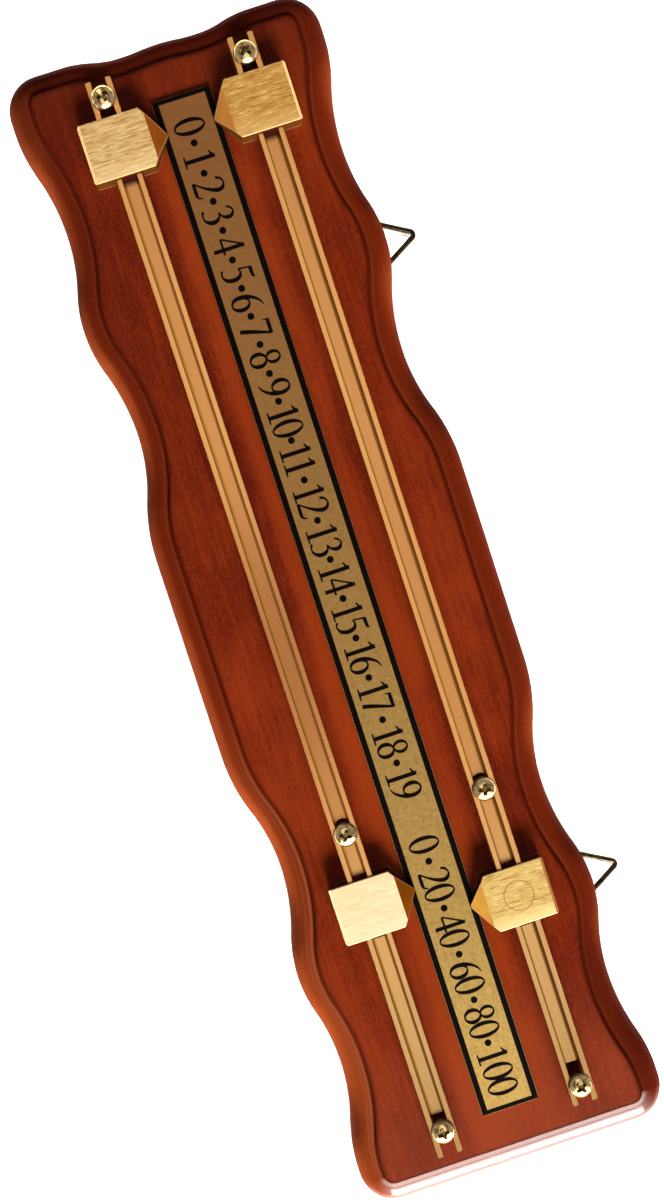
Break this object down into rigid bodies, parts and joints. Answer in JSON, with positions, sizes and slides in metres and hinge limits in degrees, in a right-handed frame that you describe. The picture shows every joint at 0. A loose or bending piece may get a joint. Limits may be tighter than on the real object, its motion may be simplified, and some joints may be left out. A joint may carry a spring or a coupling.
{
  "type": "billiard scoreboard",
  "caption": "Wall-hung wooden billiard scoreboard with a numbered plate between brass rails, sliding brass pointers and triangular ring hangers.",
  "frame": {"origin": "on the board's flat back face, midway between the hangers and between the long sides", "axes": "+X along the scale from 0 to 100, +Y up when it hangs on a wall, +Z out of the front face"},
  "size_m": [0.3984, 0.1192, 0.0264],
  "materials": {
    "board_wood": "red mahogany stain under gloss lacquer, fine grain lengthwise",
    "scale_plate_brass": "satin brass with black print",
    "rail_brass": "drawn brass, satin",
    "pointer_brass": "brushed brass under clear lacquer",
    "runner_plastic": "very dark brown moulded nylon",
    "rail_screw_steel": "yellow-passivated steel, glossy",
    "hanger_steel": "dark bronzed steel",
    "hanger_screw_steel": "bronzed steel"
  },
  "bodies": {
    "scoreboard": {"board": "board_wood", "scale_plate": "scale_plate_brass", "lower_rail": "rail_brass", "upper_rail": "rail_brass", "lower_rail_screw_left": "rail_screw_steel", "lower_rail_screw_middle": "rail_screw_steel", "lower_rail_screw_right": "rail_screw_steel", "upper_rail_screw_left": "rail_screw_steel", "upper_rail_screw_middle": "rail_screw_steel", "upper_rail_screw_right": "rail_screw_steel", "left_hanger_strap": "hanger_steel", "left_hanger_screw": "hanger_screw_steel", "right_hanger_strap": "hanger_steel", "right_hanger_screw": "hanger_screw_steel"},
    "lower_units": {"lower_units_pointer": "pointer_brass", "lower_units_runner": "runner_plastic", "lower_units_rivet": "pointer_brass"},
    "lower_twenties": {"lower_twenties_pointer": "pointer_brass", "lower_twenties_runner": "runner_plastic", "lower_twenties_rivet": "pointer_brass"},
    "upper_units": {"upper_units_pointer": "pointer_brass", "upper_units_runner": "runner_plastic", "upper_units_rivet": "pointer_brass"},
    "upper_twenties": {"upper_twenties_pointer": "pointer_brass", "upper_twenties_runner": "runner_plastic", "upper_twenties_rivet": "pointer_brass"},
    "left_ring": {"left_hanger_ring": "hanger_steel"},
    "right_ring": {"right_hanger_ring": "hanger_steel"}
  },
  "joints": [
    {"name": "lower_units_slide", "type": "slide", "parent": "scoreboard", "child": "lower_units", "axis": [1, 0, 0], "range_m": [-0.0015, 0.2212]},
    {"name": "lower_twenties_slide", "type": "slide", "parent": "scoreboard", "child": "lower_twenties", "axis": [1, 0, 0], "range_m": [-0.0108, 0.0644]},
    {"name": "upper_units_slide", "type": "slide", "parent": "scoreboard", "child": "upper_units", "axis": [1, 0, 0], "range_m": [-0.0013, 0.2214]},
    {"name": "upper_twenties_slide", "type": "slide", "parent": "scoreboard", "child": "upper_twenties", "axis": [1, 0, 0], "range_m": [-0.0224, 0.0528]},
    {"name": "left_ring_hinge", "type": "hinge", "parent": "scoreboard", "child": "left_ring", "pos_m": [-0.115, 0.0513, -0.00158], "axis": [-1, 0, 0], "range_deg": [0, 160]},
    {"name": "right_ring_hinge", "type": "hinge", "parent": "scoreboard", "child": "right_ring", "pos_m": [0.115, 0.0513, -0.00158], "axis": [-1, 0, 0], "range_deg": [0, 160]}
  ]
}
